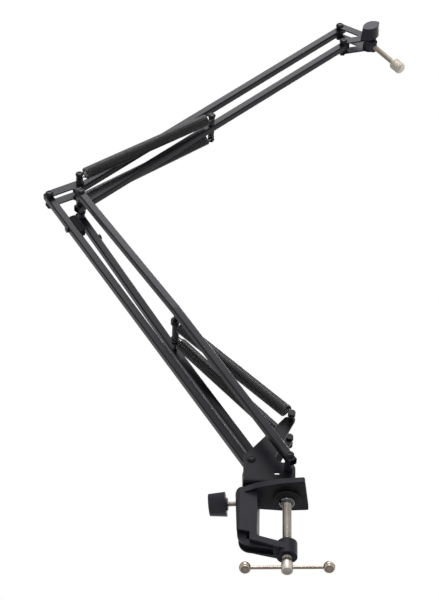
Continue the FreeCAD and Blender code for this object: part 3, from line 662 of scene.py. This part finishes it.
def make_clamp_screw():
    """Threaded screw with the CAD node's drilled head."""
    low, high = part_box("clamp_screw")
    head_top = low.z + CLAMP_SCREW_HEAD
    foot = Vector((centre("handle_bar").x, centre("handle_bar").y, head_top))
    rings = thread_rings(foot, UPRIGHT, high.z - head_top, CLAMP_SCREW_RADIUS, CLAMP_THREAD_DEPTH,
                         CLAMP_THREAD_PITCH, CLAMP_THREAD_DEPTH)
    thread = grid_mesh("clamp_thread", rings)
    mesh, shape = shape_of("clamp_screw")
    shank = [face for face in shape.faces if any(point.co.z > head_top + SAME_PLACE for point in face.verts)]
    bmesh.ops.delete(shape, geom=shank, context="FACES")
    shape.from_mesh(thread)
    shape.to_mesh(mesh)
    shape.free()
    stand_in("threaded_clamp_screw", mesh, "clamp_screw")


def make_thread(node, axis, length, crest, depth, pitch, chamfer):
    """Threaded rod in place of a CAD rod, centred on it."""
    rings = thread_rings(centre(node) - axis * length / 2, axis, length, crest, depth, pitch, chamfer)
    stand_in("threaded_" + node, grid_mesh("threaded_" + node, rings), node)


for node, piece in NODES.items():
    piece.data.materials.clear()
    piece.data.materials.append(finish_of(node))

for level, spring in SPRINGS.items():
    for name, side in (("front", -1), ("back", 1)):
        make_spring("%s_spring_%s" % (level, name), side, **spring)

make_clamp_screw()
STUD_AXIS = (centre("mic_stud") - centre("mic_stem")).normalized()
make_thread("mic_stud", STUD_AXIS, STUD_LENGTH, STUD_RADIUS, STUD_THREAD_DEPTH, STUD_THREAD_PITCH,
            STUD_CHAMFER)
LOCK_AXIS = Vector((-math.cos(math.radians(CLAMP_TURN)), -math.sin(math.radians(CLAMP_TURN)), 0))
make_thread("lock_bolt", LOCK_AXIS, LOCK_BOLT_LENGTH, LOCK_BOLT_RADIUS, LOCK_THREAD_DEPTH, LOCK_THREAD_PITCH,
            LOCK_THREAD_DEPTH)

ELBOW_PIVOT = BASE_PIVOT + heading(LOWER_ANGLE) * LOWER_LENGTH
bar_piece("lower_bar_front", BASE_PIVOT, LOWER_ANGLE, bent_line(-1))
bar_piece("lower_bar_back", BASE_PIVOT, LOWER_ANGLE, bent_line(1))
bar_piece("lower_bar_centre", BASE_PIVOT + LOWER_LINK, LOWER_ANGLE, straight_line(LOWER_LENGTH))
bar_piece("upper_bar_lower", ELBOW_PIVOT, UPPER_ANGLE, straight_line(UPPER_LENGTH))
bar_piece("upper_bar_upper", ELBOW_PIVOT + UPPER_LINK, UPPER_ANGLE, straight_line(UPPER_LENGTH))
for node in BUTTON_PINS:
    button_pin(node)
for node in sorted(NODES):
    if not NODES[node].hide_render:
        dressed(node)


# Stage, light and camera

def make_floor():
    mesh = bpy.data.meshes.new("floor")
    half = FLOOR_SIZE / 2
    corners = [(-half, -half), (half, -half), (half, half), (-half, half)]
    mesh.from_pydata([(x, y, FLOOR_HEIGHT) for x, y in corners], [], [(0, 1, 2, 3)])
    floor = add_object("floor", mesh)
    material, _, shader = new_material("floor_white")
    shader.inputs["Base Color"].default_value = FLOOR_GREY
    shader.inputs["Roughness"].default_value = FLOOR_ROUGHNESS
    floor.data.materials.append(material)


def make_world():
    """White behind the object for the camera and reflections, and a plain soft room light on it."""
    world = bpy.data.worlds.new("room")
    bpy.context.scene.world = world
    world.use_nodes = True
    tree = world.node_tree
    tree.nodes.clear()
    rays = tree.nodes.new("ShaderNodeLightPath")
    shown = tree.nodes.new("ShaderNodeBackground")
    room = tree.nodes.new("ShaderNodeBackground")
    mix = tree.nodes.new("ShaderNodeMixShader")
    out = tree.nodes.new("ShaderNodeOutputWorld")
    shown.inputs["Color"].default_value = WHITE
    shown.inputs["Strength"].default_value = BACKGROUND_STRENGTH
    room.inputs["Color"].default_value = ROOM_LIGHT
    room.inputs["Strength"].default_value = ROOM_STRENGTH
    white_for = rays.outputs["Is Camera Ray"]
    for kind in ("Is Glossy Ray", "Is Transmission Ray"):
        either = tree.nodes.new("ShaderNodeMath")
        either.operation = "MAXIMUM"
        tree.links.new(white_for, either.inputs[0])
        tree.links.new(rays.outputs[kind], either.inputs[1])
        white_for = either.outputs["Value"]
    tree.links.new(white_for, mix.inputs["Fac"])
    tree.links.new(room.outputs["Background"], mix.inputs[1])
    tree.links.new(shown.outputs["Background"], mix.inputs[2])
    tree.links.new(mix.outputs["Shader"], out.inputs["Surface"])


def make_lamp(name, place, size, watts):
    lamp = bpy.data.lights.new(name, "AREA")
    lamp.shape = "RECTANGLE"
    lamp.size, lamp.size_y = size
    lamp.energy = watts
    lamp.color = LAMP_COLOUR
    holder = add_object(name, lamp)
    holder.location = place
    holder.rotation_euler = (LAMP_AIM - place).to_track_quat("-Z", "Y").to_euler()


def make_camera():
    data = bpy.data.cameras.new("camera")
    data.sensor_fit = "VERTICAL"
    data.sensor_height = SENSOR_MM
    data.lens = LENS_MM
    data.clip_end = CAMERA_REACH
    camera = add_object("camera", data)
    azimuth = math.radians(CAMERA_AZIMUTH)
    elevation = math.radians(CAMERA_ELEVATION)
    roll = math.radians(CAMERA_ROLL)
    flat = Vector((math.sin(azimuth), math.cos(azimuth), 0))
    ahead = flat * math.cos(elevation) + UPRIGHT * math.sin(elevation)
    level = Vector((math.cos(azimuth), -math.sin(azimuth), 0))
    above = level.cross(ahead)
    right = level * math.cos(roll) + above * math.sin(roll)
    top = above * math.cos(roll) - level * math.sin(roll)
    camera.matrix_world = Matrix.Translation(EYE) @ Matrix((right, top, -ahead)).transposed().to_4x4()
    bpy.context.scene.camera = camera


make_floor()
make_world()
for name, lamp in LAMPS.items():
    make_lamp(name, **lamp)
make_camera()
bpy.context.scene.view_settings.view_transform = "Standard"
